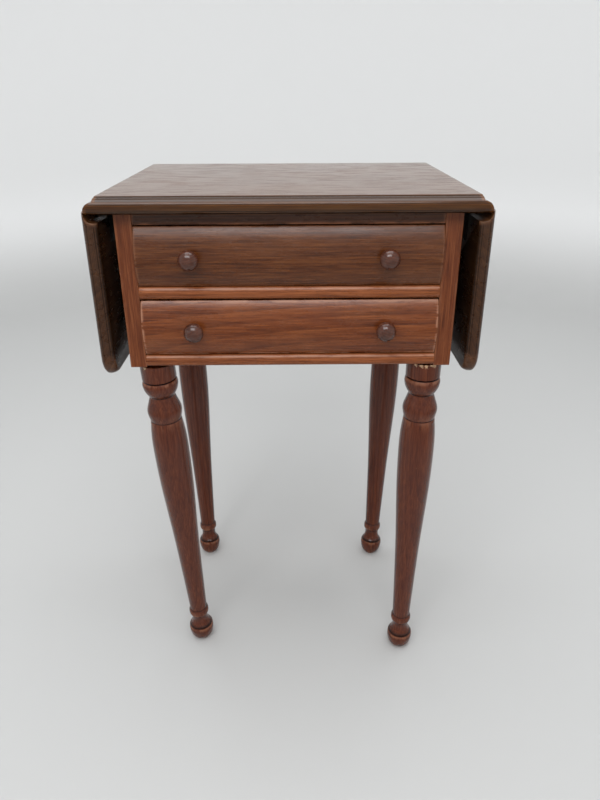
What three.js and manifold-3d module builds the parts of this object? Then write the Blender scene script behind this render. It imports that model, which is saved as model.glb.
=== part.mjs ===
// A vintage sewing table: two drawers in a small case on four turned legs, with a drop leaf at each side.
// Millimetres, +Z up, +X right, the drawers face -Y. The floor is z = 0.
import * as THREE from 'three';
import { mergeVertices } from 'three/addons/utils/BufferGeometryUtils.js';
import Module from 'manifold-3d';

const wasm = await Module();
wasm.setup();

// ---------------------------------------------------------------- driving dimensions

const tableHeight = 737;
const topThickness = 19.5;
const topDepth = 384; // over the moulded front and back edges
const jointSpan = 444; // between the two leaf hinge axes
const leafWidth = 204; // from the hinge axis to the leaf's free edge
const leafCorner = 26; // plan radius of the leaf's two free corners

const caseWidth = 410;
const caseDepth = 341.6;
const caseBottom = 523.7;
const sideThickness = 21;
const backThickness = 12;

const gap = 0.3; // between pieces that touch
const slack = 0.5; // beside pieces that slide or turn

// Moulding run round the front, back and free edges: a small quirk, a long shallow thumb, a tucked nose.
const moulding = { quirk: 1, run: 14, drop: 7, tuck: 7 };

// Rule joint: a quarter round on the board, a cove on the leaf, both about the hinge axis.
const rule = { fillet: 5, barrelDepth: 3, coveClearance: 0.5, lipClearance: 0.3 };

// Heights of the case front, from the underside of each rail and drawer front to its top.
const frontLevels = {
  topRail: [703.2, tableHeight - topThickness - gap],
  upperDrawer: [629.8, 701.7],
  middleRail: [614, 629.2],
  lowerDrawer: [541.8, 611.8],
  bottomRail: [526.2, 540.8],
};
const railDepth = { topRail: 50, middleRail: 50, bottomRail: 22 };
const railNose = { topRail: 0, middleRail: 4.5, bottomRail: 4.5 };

const drawer = {
  frontThickness: 20,
  bulge: 9, // how far the middle of the front stands proud of its long edges
  sideThickness: 10,
  sideHeight: 64,
  length: 300, // behind the front
  bottomThickness: 5,
  bottomLift: 8, // underside of the bottom above the side's lower edge
  grooveDepth: 5,
  backThickness: 10,
  backInset: 14, // from the sides' rear ends to the face of the back
  backDrop: 4, // the back's upper edge below the sides'
  dado: 4,
  tails: 3,
  tailLength: 13,
  tailShare: 0.32, // half a tail's height over the pitch of the tails
  tailFlare: 1 / 3, // how much narrower a tail is at its root, over its half height
};
const knob = {
  x: 118,
  reach: 21,
  tenonRadius: 5,
  seatRadius: 8.6,
  seatDepth: 2,
  neckRadius: 6.6,
  neckDepth: 8, // from the drawer front to the back of the head
  headRadius: 12.4,
  headDepth: 15, // from the drawer front to the start of the head's dome
  roundOver: 2.2, // how far the head's edge draws in to its back and its dome
};

const block = { width: 54, depth: 48.5 };
const runnerWidth = 23.7;
const dowel = { radius: 7, length: 42, inLeg: 27, x: 168, y: 138 };

// Where each leg's axis meets the case and the floor. With age each leg has come to lean in its own way.
const legs = {
  front_left: { top: [-177, -146], foot: [-156, -102] },
  front_right: { top: [177, -146], foot: [177, -125] },
  back_left: { top: [-182, 146], foot: [-169, 126] },
  back_right: { top: [172, 146], foot: [155, 120] },
};
// A leg's turned outline, foot to collar, as smooth runs of [radius, height] with a sharp step between runs.
const legRuns = [
  [[11, 0], [17.5, 9], [19.8, 21], [14.7, 35], [12.5, 44], [13.5, 53]], // foot, bulb and ankle
  [[13.7, 53.5], [15.8, 60], [14, 67]], // ring
  [[13.7, 70], [18.2, 210], [23.8, 327], [24.6, 400], [21.3, 438]], // tapered shank and knee
  [[21.5, 438.5], [23.6, 452], [19.5, 466], [16.9, 474]], // ball
  [[17.3, 475], [22.8, 486], [24, 493], [22.2, 499]], // bead
];
const collar = { radius: 23, height: 500 };
const overrun = 8; // the turning runs past the floor and the case by this much before it is trimmed

const hinge = {
  y: 118,
  width: 38,
  thickness: 1.4,
  boardReach: 24,
  leafReach: 44,
  knuckleRadius: 2.4,
  pinRadius: 1.1,
  neck: 3.2, // how far from the axis the plates are cut back between knuckles
  inset: 0.1, // the plates lie this far under the wood's surface
};

const bracket = {
  thickness: 14.5,
  recess: 15.5,
  length: 137,
  height: 62,
  tip: 24, // height of its narrow end
  ogee: [60, 60, 15], // the underside's curve: its pull in from the tip at each end, and the flat by the pivot
  pivotY: 62,
  pinRadius: 2,
  pinLength: 74,
};

const stop = { width: 40, depth: 10, height: 4.5 };

const roundSteps = 16; // facets round a turned piece
const curveSteps = 4; // facets along each curve of an outline

// ---------------------------------------------------------------- derived places

const topUnderside = tableHeight - topThickness;
const hingeX = jointSpan / 2;
const hingeZ = topUnderside + rule.barrelDepth;
const ruleRadius = tableHeight - rule.fillet - hingeZ;
const sideOuter = caseWidth / 2;
const sideInner = sideOuter - sideThickness;
const caseFront = -caseDepth / 2;
const caseBack = caseDepth / 2;
const caseTop = topUnderside - gap;
const backFront = caseBack - backThickness;
const drawerInner = caseFront + drawer.frontThickness;
const knobFront = caseFront - drawer.bulge - gap - knob.reach;

// ---------------------------------------------------------------- materials

const wood = (color, roughness) => new THREE.MeshStandardMaterial({ color, roughness, metalness: 0 });
const metal = (color, roughness) => new THREE.MeshStandardMaterial({ color, roughness, metalness: 0.9 });
const materials = {
  top: wood(0x4a2a1c, 0.35),
  case: wood(0x6f4028, 0.45),
  drawerFront: wood(0x66371f, 0.4),
  leg: wood(0x43201a, 0.35),
  knob: wood(0x2e1a16, 0.3),
  inside: wood(0xa27b50, 0.7),
  hinge: metal(0x4d4a46, 0.5),
};

// ---------------------------------------------------------------- solids

// A closed three.js geometry as a manifold solid. Lathes leave slivers on their axis, which are dropped.
function solid(geometry) {
  geometry.deleteAttribute('normal');
  geometry.deleteAttribute('uv');
  const merged = mergeVertices(geometry, 1e-4);
  const index = merged.index.array;
  const triangles = [];
  for (let i = 0; i < index.length; i += 3) {
    const [a, b, c] = [index[i], index[i + 1], index[i + 2]];
    if (a !== b && b !== c && c !== a) triangles.push(a, b, c);
  }
  return new wasm.Manifold(new wasm.Mesh({
    numProp: 3,
    vertProperties: merged.attributes.position.array,
    triVerts: new Uint32Array(triangles),
  }));
}

// A manifold solid as a three.js geometry.
function surface(body) {
  const mesh = body.getMesh();
  const geometry = new THREE.BufferGeometry();
  const places = new Float32Array(mesh.vertProperties);
  geometry.setAttribute('position', new THREE.BufferAttribute(places, 3));
  geometry.setIndex(new THREE.BufferAttribute(new Uint32Array(mesh.triVerts), 1));
  return geometry;
}

const cut = (body, ...tools) => tools.reduce((rest, tool) => rest.subtract(tool), body);
const join = (body, ...others) => others.reduce((rest, other) => rest.add(other), body);

// A block between two values on each axis, given in either order.
function block3([x0, x1], [y0, y1], [z0, z1]) {
  const geometry = new THREE.BoxGeometry(Math.abs(x1 - x0), Math.abs(y1 - y0), Math.abs(z1 - z0));
  return solid(geometry.translate((x0 + x1) / 2, (y0 + y1) / 2, (z0 + z1) / 2));
}

// An outline drawn in y and z, carried along x.
function alongX(shape, [x0, x1]) {
  const [start, end] = [Math.min(x0, x1), Math.max(x0, x1)];
  const geometry = new THREE.ExtrudeGeometry(shape, {
    depth: end - start, bevelEnabled: false, curveSegments: curveSteps,
  });
  const turn = new THREE.Matrix4().makeBasis(
    new THREE.Vector3(0, 1, 0), new THREE.Vector3(0, 0, 1), new THREE.Vector3(1, 0, 0),
  );
  return solid(geometry.applyMatrix4(turn).translate(start, 0, 0));
}

// An outline drawn in x and z, carried along y.
function alongY(shape, [y0, y1]) {
  const geometry = new THREE.ExtrudeGeometry(shape, {
    depth: y1 - y0, bevelEnabled: false, curveSegments: curveSteps,
  });
  return solid(geometry.rotateX(Math.PI / 2).translate(0, y1, 0));
}

function cylinderZ(radius, [z0, z1], x, y, steps = roundSteps) {
  const geometry = new THREE.CylinderGeometry(radius, radius, z1 - z0, steps);
  return solid(geometry.rotateX(Math.PI / 2).translate(x, y, (z0 + z1) / 2));
}

function cylinderY(radius, [y0, y1], x, z, steps = roundSteps) {
  const geometry = new THREE.CylinderGeometry(radius, radius, y1 - y0, steps);
  return solid(geometry.translate(x, (y0 + y1) / 2, z));
}

// ---------------------------------------------------------------- the model

const table = new THREE.Group();

function add(name, body, material, place = () => {}) {
  const geometry = surface(body);
  place(geometry);
  const mesh = new THREE.Mesh(geometry, material.clone());
  mesh.name = name;
  table.add(mesh);
}

// The opposite hand of a piece: half a turn about the middle of the table.
const halfTurn = (geometry) => geometry.rotateZ(Math.PI);

// ---------------------------------------------------------------- top board and leaves

// The moulded edge from the flat of the top down to the underside, as inset from the edge and height.
function mouldedEdge() {
  const { quirk, run, drop, tuck } = moulding;
  const noseHeight = topThickness - quirk - drop;
  const edge = new THREE.Path();
  edge.moveTo(run, topThickness);
  edge.lineTo(run, topThickness - quirk);
  edge.absellipse(run, noseHeight, run, drop, Math.PI / 2, Math.PI, false);
  edge.absellipse(tuck, noseHeight, tuck, noseHeight, Math.PI, 1.5 * Math.PI, false);
  return edge.getPoints(curveSteps).filter((p, i, all) => i === 0 || p.distanceTo(all[i - 1]) > 0.01);
}

// What one hinge takes out of the underside: a shallow bed for a plate and a trench for the barrel.
function hingeBed(y, [x0, x1], withBarrel) {
  const span = [y - hinge.width / 2 - gap, y + hinge.width / 2 + gap];
  const bed = block3([x0, x1], span, [topUnderside - 1, topUnderside + hinge.inset + hinge.thickness + gap]);
  if (!withBarrel) return bed;
  const reach = hinge.knuckleRadius + 2.5 * gap;
  return bed.add(block3([hingeX - reach, hingeX + reach], span, [topUnderside - 1, hingeZ + reach]));
}

function topBoard() {
  const edge = mouldedEdge();
  const half = topDepth / 2;
  const back = edge.map((p) => [half - p.x, topUnderside + p.y]);
  const front = edge.map((p) => [p.x - half, topUnderside + p.y]).reverse();
  const moulded = new THREE.Shape([...back, ...front].map(([y, z]) => new THREE.Vector2(y, z)));

  const lip = hingeX + ruleRadius;
  const ruled = new THREE.Shape();
  ruled.moveTo(-lip, topUnderside);
  ruled.lineTo(lip, topUnderside);
  ruled.lineTo(lip, hingeZ);
  ruled.absarc(hingeX, hingeZ, ruleRadius, 0, Math.PI / 2, false);
  ruled.lineTo(hingeX, tableHeight);
  ruled.lineTo(-hingeX, tableHeight);
  ruled.absarc(-hingeX, hingeZ, ruleRadius, Math.PI / 2, Math.PI, false);
  ruled.lineTo(-lip, topUnderside);

  const board = alongX(moulded, [-lip - 5, lip + 5]).intersect(alongY(ruled, [-half - 5, half + 5]));
  const beds = [];
  for (const side of [-1, 1]) {
    for (const y of [-hinge.y, hinge.y]) {
      const inner = side * (hingeX - hinge.boardReach - gap);
      const bed = hingeBed(y, [hingeX - hinge.boardReach - gap, lip + 5], true);
      beds.push(inner > 0 ? bed : solid(halfTurn(surface(hingeBed(-y, [-inner, lip + 5], true)))));
    }
  }
  return cut(board, ...beds);
}

// One ring of a rounded rectangle, the same number of points whatever its inset.
function roundedRing(inset, z, [x0, x1], half) {
  const radius = leafCorner - inset;
  const corners = [
    [x1 - leafCorner, half - leafCorner, 0],
    [x0 + leafCorner, half - leafCorner, 1],
    [x0 + leafCorner, leafCorner - half, 2],
    [x1 - leafCorner, leafCorner - half, 3],
  ];
  const ring = [];
  for (const [cx, cy, quarter] of corners) {
    for (let i = 0; i <= curveSteps; i += 1) {
      const angle = (quarter + i / curveSteps) * Math.PI / 2;
      ring.push(new THREE.Vector3(cx + radius * Math.cos(angle), cy + radius * Math.sin(angle), z));
    }
  }
  return ring;
}

// A closed solid through rings that lie one above the other, from the top down.
function stack(rings) {
  const count = rings[0].length;
  const points = rings.flat();
  const faces = [];
  for (let level = 0; level < rings.length - 1; level += 1) {
    for (let i = 0; i < count; i += 1) {
      const a = level * count + i;
      const b = level * count + ((i + 1) % count);
      faces.push(a, a + count, b, b, a + count, b + count);
    }
  }
  const last = (rings.length - 1) * count;
  for (let i = 1; i < count - 1; i += 1) {
    faces.push(0, i, i + 1);
    faces.push(last, last + i + 1, last + i);
  }
  const geometry = new THREE.BufferGeometry().setFromPoints(points);
  geometry.setIndex(faces);
  return solid(geometry);
}

// The right leaf raised level with the top.
function raisedLeaf() {
  const half = topDepth / 2;
  const span = [hingeX - 2 * leafCorner, hingeX + leafWidth];
  const rings = mouldedEdge().map((p) => roundedRing(p.x, topUnderside + p.y, span, half));
  const coveRadius = ruleRadius + rule.coveClearance;

  const waste = new THREE.Shape();
  waste.moveTo(span[0] - 5, topUnderside - 1);
  waste.lineTo(hingeX + coveRadius, topUnderside - 1);
  waste.lineTo(hingeX + coveRadius, hingeZ);
  waste.absarc(hingeX, hingeZ, coveRadius, 0, Math.PI / 2, false);
  waste.lineTo(hingeX + rule.lipClearance, hingeZ + coveRadius);
  waste.lineTo(hingeX + rule.lipClearance, tableHeight + 1);
  waste.lineTo(span[0] - 5, tableHeight + 1);

  const beds = [-hinge.y, hinge.y].map(
    (y) => hingeBed(y, [hingeX, hingeX + hinge.leafReach + gap], false),
  );
  return cut(stack(rings), alongY(waste, [-half - 5, half + 5]), ...beds);
}

// Turns a piece of the right leaf from raised to hanging.
function hang(geometry) {
  geometry.translate(-hingeX, 0, -hingeZ).rotateY(Math.PI / 2).translate(hingeX, 0, hingeZ);
}

add('top_board', topBoard(), materials.top);
add('right_leaf', raisedLeaf(), materials.top, hang);
add('left_leaf', raisedLeaf(), materials.top, (geometry) => {
  hang(geometry);
  halfTurn(geometry);
});

// ---------------------------------------------------------------- rule-joint hinges

// The stretch of y between two fractions of a hinge's width.
const hingeY = (y, parts) => parts.map((part) => y + (part - 0.5) * hinge.width);
const plateZ = [topUnderside + hinge.inset, topUnderside + hinge.inset + hinge.thickness];
const knuckle = (span) => cylinderY(hinge.knuckleRadius, span, hingeX, hingeZ, 12);
const pinBore = (y) => cylinderY(hinge.pinRadius + gap, hingeY(y, [-0.5, 1.5]), hingeX, hingeZ, 12);

// Knuckles take the outer thirds on the board plate and the middle third on the leaf plate.
function boardPlate(y) {
  const thirds = [hingeY(y, [0, 1 / 3]), hingeY(y, [2 / 3, 1])];
  const plate = block3([hingeX - hinge.boardReach, hingeX - hinge.neck], hingeY(y, [0, 1]), plateZ);
  const tabs = thirds.map((span) => block3([hingeX - hinge.neck - 1, hingeX], span, plateZ));
  return cut(join(plate, ...tabs, ...thirds.map(knuckle)), pinBore(y));
}

function leafPlate(y) {
  const [start, end] = hingeY(y, [1 / 3, 2 / 3]);
  const middle = [start + gap, end - gap];
  const plate = block3([hingeX + hinge.neck, hingeX + hinge.leafReach], hingeY(y, [0, 1]), plateZ);
  const tab = block3([hingeX, hingeX + hinge.neck + 1], middle, plateZ);
  return cut(join(plate, tab, knuckle(middle)), pinBore(y));
}

function hingePin(y) {
  return cylinderY(hinge.pinRadius, hingeY(y, [0.01, 0.99]), hingeX, hingeZ, 12);
}

for (const [place, y] of [['front', -hinge.y], ['back', hinge.y]]) {
  add(`right_${place}_hinge_board_plate`, boardPlate(y), materials.hinge);
  add(`right_${place}_hinge_leaf_plate`, leafPlate(y), materials.hinge, hang);
  add(`right_${place}_hinge_pin`, hingePin(y), materials.hinge);
  add(`left_${place}_hinge_board_plate`, boardPlate(-y), materials.hinge, halfTurn);
  add(`left_${place}_hinge_leaf_plate`, leafPlate(-y), materials.hinge, (geometry) => {
    hang(geometry);
    halfTurn(geometry);
  });
  add(`left_${place}_hinge_pin`, hingePin(-y), materials.hinge, halfTurn);
}

// ---------------------------------------------------------------- case sides and fly brackets

// The fly bracket that props the raised right leaf, folded into the side.
const bracketX = [sideOuter - slack - bracket.thickness, sideOuter - slack];
const bracketPinX = (bracketX[0] + bracketX[1]) / 2;
const bracketPinZ = [caseTop - bracket.pinLength, caseTop - 2];

function flyBracket() {
  const top = caseTop - gap;
  const bottom = top - bracket.height;
  const end = bracket.pivotY - bracket.length;
  const [pull, lift, flat] = bracket.ogee;
  const outline = new THREE.Shape();
  outline.moveTo(bracket.pivotY, top);
  outline.lineTo(end, top);
  outline.lineTo(end, top - bracket.tip);
  outline.bezierCurveTo(end + pull, top - bracket.tip, end + lift, bottom, bracket.pivotY - flat, bottom);
  outline.lineTo(bracket.pivotY, bottom);
  const knuckleEnd = cylinderZ(bracket.thickness / 2, [bottom, top], bracketPinX, bracket.pivotY);
  const bore = cylinderZ(bracket.pinRadius + gap, [bottom - 1, top + 1], bracketPinX, bracket.pivotY, 12);
  return cut(join(alongX(outline, bracketX), knuckleEnd), bore);
}

function caseSide() {
  const board = block3([sideInner, sideOuter], [caseFront, caseBack], [caseBottom, caseTop]);
  const recessY = [
    bracket.pivotY - bracket.length - 1,
    bracket.pivotY + bracket.thickness / 2 + slack,
  ];
  const recessZ = [caseTop - gap - bracket.height - slack, caseTop + 1];
  const recess = block3([sideOuter - bracket.recess, sideOuter + 1], recessY, recessZ);
  const bore = cylinderZ(
    bracket.pinRadius + gap, [bracketPinZ[0] - gap, recessZ[0] + 1], bracketPinX, bracket.pivotY, 12,
  );
  return cut(board, recess, bore);
}

add('right_side', caseSide(), materials.case);
add('left_side', caseSide(), materials.case, halfTurn);
add('right_fly_bracket', flyBracket(), materials.inside);
add('left_fly_bracket', flyBracket(), materials.inside, halfTurn);
const bracketPin = () => cylinderZ(bracket.pinRadius, bracketPinZ, bracketPinX, bracket.pivotY, 12);
add('right_fly_bracket_pin', bracketPin(), materials.hinge);
add('left_fly_bracket_pin', bracketPin(), materials.hinge, halfTurn);

// ---------------------------------------------------------------- rails, back, runners, kickers

const betweenSides = [gap - sideInner, sideInner - gap];

// A rail between the sides, its front edge rounded where it stands proud of them.
function frontRail(name) {
  const [z0, z1] = frontLevels[name];
  const back = caseFront + railDepth[name];
  const outline = new THREE.Shape();
  outline.moveTo(back, z0);
  outline.lineTo(back, z1);
  outline.lineTo(caseFront, z1);
  const nose = railNose[name];
  if (nose > 0) {
    outline.absellipse(caseFront, (z0 + z1) / 2, nose, (z1 - z0) / 2, Math.PI / 2, 1.5 * Math.PI, false);
  }
  outline.lineTo(caseFront, z0);
  return alongX(outline, betweenSides);
}

add('top_rail', frontRail('topRail'), materials.case);
add('middle_rail', frontRail('middleRail'), materials.case);
add('bottom_rail', frontRail('bottomRail'), materials.case);
add('back_panel', block3(betweenSides, [backFront, caseBack], [caseBottom, caseTop]), materials.case);

const railBack = (name) => caseFront + railDepth[name] + gap;
const blockBack = caseFront + railDepth.bottomRail + gap + block.depth;
for (const [hand, side] of [['left', -1], ['right', 1]]) {
  const x = [side * (sideInner - gap), side * (sideInner - gap - runnerWidth)];
  const upperY = [railBack('middleRail'), backFront - gap];
  const lowerY = [blockBack + gap, -blockBack - gap];
  const kickerZ = [frontLevels.topRail[0] + gap, caseTop];
  add(`upper_${hand}_runner`, block3(x, upperY, frontLevels.middleRail), materials.inside);
  add(`lower_${hand}_runner`, block3(x, lowerY, frontLevels.bottomRail), materials.inside);
  add(`${hand}_kicker`, block3(x, [railBack('topRail'), backFront - gap], kickerZ), materials.inside);
}

// ---------------------------------------------------------------- corner blocks, dowels and legs

const dowelZ = [caseBottom - gap - dowel.inLeg, caseBottom - gap - dowel.inLeg + dowel.length];

function cornerBlock(sideX, sideY) {
  const x = [sideX * (sideInner - gap), sideX * (sideInner - gap - block.width)];
  const outer = sideY < 0 ? caseFront + railDepth.bottomRail + gap : backFront - gap;
  const y = [outer, sideY * -blockBack];
  const body = block3(x, y, [caseBottom, frontLevels.bottomRail[1]]);
  const boreZ = [caseBottom - 1, dowelZ[1] + gap];
  return cut(body, cylinderZ(dowel.radius + gap, boreZ, sideX * dowel.x, sideY * dowel.y));
}

// The turned outline of a leg, from below the floor to above the case, as radius and height.
function legOutline(length) {
  const [footRadius] = legRuns[0][0];
  const points = [new THREE.Vector2(0, -overrun), new THREE.Vector2(footRadius, -overrun)];
  for (const run of legRuns) {
    const curve = new THREE.SplineCurve(run.map(([r, z]) => new THREE.Vector2(r, z)));
    points.push(...curve.getPoints((curveSteps * (run.length - 1)) / 2));
  }
  points.push(
    new THREE.Vector2(collar.radius, collar.height),
    new THREE.Vector2(collar.radius, length + overrun),
    new THREE.Vector2(0, length + overrun),
  );
  return points;
}

function turnedLeg({ top, foot }, sideX, sideY) {
  const base = new THREE.Vector3(...foot, 0);
  const axis = new THREE.Vector3(...top, caseBottom).sub(base);
  const turned = new THREE.LatheGeometry(legOutline(axis.length()), roundSteps);
  turned.rotateX(Math.PI / 2);
  const up = new THREE.Vector3(0, 0, 1);
  turned.applyQuaternion(new THREE.Quaternion().setFromUnitVectors(up, axis.clone().normalize()));
  turned.translate(base.x, base.y, 0);
  const room = block3([-caseWidth, caseWidth], [-caseWidth, caseWidth], [0, caseBottom - gap]);
  const boreZ = [dowelZ[0] - gap, caseBottom + 1];
  const bore = cylinderZ(dowel.radius + gap, boreZ, sideX * dowel.x, sideY * dowel.y);
  return solid(turned).intersect(room).subtract(bore);
}

for (const [place, ends] of Object.entries(legs)) {
  const sideX = place.endsWith('left') ? -1 : 1;
  const sideY = place.startsWith('front') ? -1 : 1;
  add(`${place}_leg`, turnedLeg(ends, sideX, sideY), materials.leg);
  add(`${place}_leg_block`, cornerBlock(sideX, sideY), materials.inside);
  const peg = cylinderZ(dowel.radius, dowelZ, sideX * dowel.x, sideY * dowel.y);
  add(`${place}_leg_dowel`, peg, materials.inside);
}

// ---------------------------------------------------------------- drawers

// One dovetail in y and z, wide at its tip inside the front, grown all round by a fit gap.
function dovetail(z, halfHeight, grow) {
  const flare = halfHeight * drawer.tailFlare;
  const tip = drawerInner - drawer.tailLength;
  return new THREE.Shape([
    new THREE.Vector2(drawerInner + 1, z - halfHeight + flare - grow),
    new THREE.Vector2(drawerInner + 1, z + halfHeight - flare + grow),
    new THREE.Vector2(tip - grow, z + halfHeight + grow),
    new THREE.Vector2(tip - grow, z - halfHeight - grow),
  ]);
}

function buildDrawer(name, [z0, z1], rest) {
  const sideZ = [rest + gap, rest + gap + drawer.sideHeight];
  const bottomZ = [sideZ[0] + drawer.bottomLift, sideZ[0] + drawer.bottomLift + drawer.bottomThickness];
  const outer = sideInner - slack - gap;
  const inner = outer - drawer.sideThickness;
  const back = drawerInner + drawer.length;
  const pitch = drawer.sideHeight / drawer.tails;
  const tailHeights = Array.from({ length: drawer.tails }, (_, i) => sideZ[0] + pitch * (i + 0.5));
  const tailHalf = pitch * drawer.tailShare;
  const grooveZ = [bottomZ[0] - gap, bottomZ[1] + gap];
  const backY = [back - drawer.backInset, back - drawer.backInset + drawer.backThickness];

  // The front: flat behind, convex before, with sockets for the tails and bores for the knobs.
  const middle = (z0 + z1) / 2;
  const halfHeight = (z1 - z0) / 2;
  const radius = (halfHeight ** 2 + drawer.bulge ** 2) / (2 * drawer.bulge);
  const sweep = Math.asin(halfHeight / radius);
  const outline = new THREE.Shape();
  outline.moveTo(drawerInner, z0);
  outline.lineTo(drawerInner, z1);
  outline.lineTo(caseFront, z1);
  const centre = caseFront - drawer.bulge + radius;
  outline.absarc(centre, middle, radius, Math.PI - sweep, Math.PI + sweep, false);
  outline.lineTo(drawerInner, z0);
  const sockets = [];
  for (const side of [-1, 1]) {
    for (const z of tailHeights) {
      sockets.push(alongX(dovetail(z, tailHalf, gap), [side * (inner - gap), side * (sideInner + 5)]));
    }
    const through = [caseFront - 2 * drawer.bulge, drawerInner + 1];
    sockets.push(cylinderY(knob.tenonRadius + gap, through, side * knob.x, middle));
  }
  const grooveY = [drawerInner - drawer.grooveDepth, drawerInner + 1];
  const groove = block3([-inner - 1, inner + 1], grooveY, grooveZ);
  const frontX = [slack - sideInner, sideInner - slack];
  add(`${name}_front`, cut(alongX(outline, frontX), groove, ...sockets), materials.drawerFront);

  // The sides: tails before, a groove for the bottom and a housing for the back.
  for (const [hand, side] of [['left', -1], ['right', 1]]) {
    const x = [side * inner, side * outer];
    const board = block3(x, [drawerInner + gap, back], sideZ);
    const tails = tailHeights.map((z) => alongX(dovetail(z, tailHalf, 0), x));
    const slotX = [side * (inner - 1), side * (inner + drawer.grooveDepth)];
    const slot = block3(slotX, [drawerInner - drawer.tailLength - 1, back + 1], grooveZ);
    const housing = block3(
      [side * (inner - 1), side * (inner + drawer.dado)],
      [backY[0] - gap, backY[1] + gap],
      [grooveZ[1] - 1, sideZ[1] + 1],
    );
    add(`${name}_${hand}_side`, cut(join(board, ...tails), slot, housing), materials.inside);
  }

  const bottomX = inner + drawer.grooveDepth - gap;
  const bottomY = [drawerInner - drawer.grooveDepth + gap, back];
  add(`${name}_bottom`, block3([-bottomX, bottomX], bottomY, bottomZ), materials.inside);
  const backX = inner + drawer.dado - gap;
  const backZ = [bottomZ[1] + gap, sideZ[1] - drawer.backDrop];
  add(`${name}_back`, block3([-backX, backX], backY, backZ), materials.inside);
  for (const [hand, side] of [['left', -1], ['right', 1]]) {
    add(`${name}_${hand}_knob`, turnedKnob(), materials.knob, (geometry) => {
      geometry.translate(side * knob.x, 0, middle);
    });
  }
}

// A turned knob on the y axis: a domed head on a waisted neck, and a tenon through the drawer front.
function turnedKnob() {
  const { tenonRadius, seatRadius, seatDepth, neckRadius } = knob;
  const seat = caseFront - drawer.bulge - gap;
  const tenonEnd = seat + drawer.frontThickness + drawer.bulge - 1;
  const [neckEnd, domeStart] = [seat - knob.neckDepth, seat - knob.headDepth];
  const [edge, rim] = [knob.headRadius - knob.roundOver, knob.headRadius + knob.roundOver / 4];
  const outline = new THREE.Path();
  outline.moveTo(0, tenonEnd);
  outline.lineTo(tenonRadius, tenonEnd);
  outline.lineTo(tenonRadius, seat);
  outline.lineTo(seatRadius, seat);
  outline.lineTo(seatRadius - 0.5, seat - seatDepth);
  outline.bezierCurveTo(neckRadius, seat - seatDepth - 1, neckRadius, neckEnd + 2, edge, neckEnd);
  outline.bezierCurveTo(rim, neckEnd - 1, rim, domeStart + 2, edge, domeStart);
  outline.bezierCurveTo(edge - 3, domeStart - 3, neckRadius - 1.5, knobFront, 0, knobFront);
  const points = outline.getPoints(curveSteps - 2);
  points[points.length - 1].x = 0;
  return solid(new THREE.LatheGeometry(points.reverse(), roundSteps));
}

buildDrawer('upper_drawer', frontLevels.upperDrawer, frontLevels.middleRail[1]);
buildDrawer('lower_drawer', frontLevels.lowerDrawer, frontLevels.bottomRail[1]);

// A stop behind each drawer front, under the drawer's bottom.
for (const [name, rest] of [['upper', frontLevels.middleRail[1]], ['lower', frontLevels.bottomRail[1]]]) {
  const x = [-stop.width / 2, stop.width / 2];
  const y = [drawerInner + gap, drawerInner + gap + stop.depth];
  add(`${name}_drawer_stop`, block3(x, y, [rest + gap, rest + stop.height]), materials.inside);
}

// The origin is under the middle of the whole table, knobs and moulded back edge included.
table.position.y = -(knobFront + topDepth / 2) / 2;

export default table;
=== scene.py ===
import math
from itertools import product

import bmesh
import bpy
from mathutils import Matrix, Vector, noise


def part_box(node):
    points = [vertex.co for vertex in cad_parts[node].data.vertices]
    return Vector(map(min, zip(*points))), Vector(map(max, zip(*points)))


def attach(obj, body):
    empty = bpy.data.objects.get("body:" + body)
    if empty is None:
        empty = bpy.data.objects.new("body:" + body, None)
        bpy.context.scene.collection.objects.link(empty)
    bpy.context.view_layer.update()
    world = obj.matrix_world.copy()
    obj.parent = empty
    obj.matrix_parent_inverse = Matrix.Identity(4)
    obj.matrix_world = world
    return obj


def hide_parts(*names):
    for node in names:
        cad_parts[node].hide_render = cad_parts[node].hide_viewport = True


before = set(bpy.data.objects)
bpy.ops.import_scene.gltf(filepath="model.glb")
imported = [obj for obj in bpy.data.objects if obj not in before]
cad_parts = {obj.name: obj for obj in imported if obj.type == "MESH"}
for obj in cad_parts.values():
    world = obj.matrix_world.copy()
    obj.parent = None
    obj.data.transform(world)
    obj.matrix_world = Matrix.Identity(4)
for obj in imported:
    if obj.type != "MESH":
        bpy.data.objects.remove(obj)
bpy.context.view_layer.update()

# The vintage sewing table's looks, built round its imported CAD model. Shapes are worked out in millimetres
# in the CAD frame: +Z up, +X right, and the drawers face -Y. Object coordinates, in metres, drive the grain.

MM = 0.001

# ---------------------------------------------------------------- dimensions of the shapes made here

MOULDING = {"quirk": 1.0, "run": 14.0, "drop": 7.0, "tuck": 7.0}
RULE = {"hinge_x": 222.0, "fillet": 5.0, "barrel_depth": 3.0, "cove_clearance": 0.5, "lip_clearance": 0.3}
LEAF_CORNER = 26.0
DRAWER = {"tails": 3, "tail_length": 13.0, "tail_share": 0.32, "root_share": 2 / 3, "edge": 0.9}
KNOB = {"reach": 21.0, "tenon_radius": 5.0, "tenon_length": 27.9, "steps": 64}
SCREW = {"radius": 3.0, "slot": 0.45, "slot_depth": 0.6, "thickness": 1.2, "stand": 0.08}
BOARD_PLATE_SCREWS = ((17, -12), (17, 12), (9, 0))  # distance from the hinge pin, then along it
LEAF_PLATE_SCREWS = ((14, -12), (14, 12), (35, -12), (35, 12))
HINGE = {"board_reach": 24.0, "leaf_reach": 44.0, "bed": 1.8, "trench": 3.15}
BRACKET = {"tip": 24.0, "pull": 60.0, "flat": 15.0, "fit": 0.5, "depth": 15.5}
FIT = 0.3

RUB_AND_HIGHLIGHT_HEIGHT = 0.72  # where a rounded rail is painted lighter as a highlight and rubbed by hands, as a share of its half height
EDGE = 0.8  # radius left on the edges of sawn pieces
FADE = ((1.5, 0.45), (4.0, 0.0))  # how the wear of an edge fades, as distance and amount
SHARP = 2.0  # corners of a smaller radius than this are worn
# Sharp corners are painted lighter as wear; this beats painted shade, and so paints a highlight along the
# leaf's cove tip.
CORNER_WEAR_AND_HIGHLIGHT = 0.7
STEP = 7.0  # spacing of points along an edge that wear has rubbed uneven
ROUND_STEPS = 96

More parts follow.
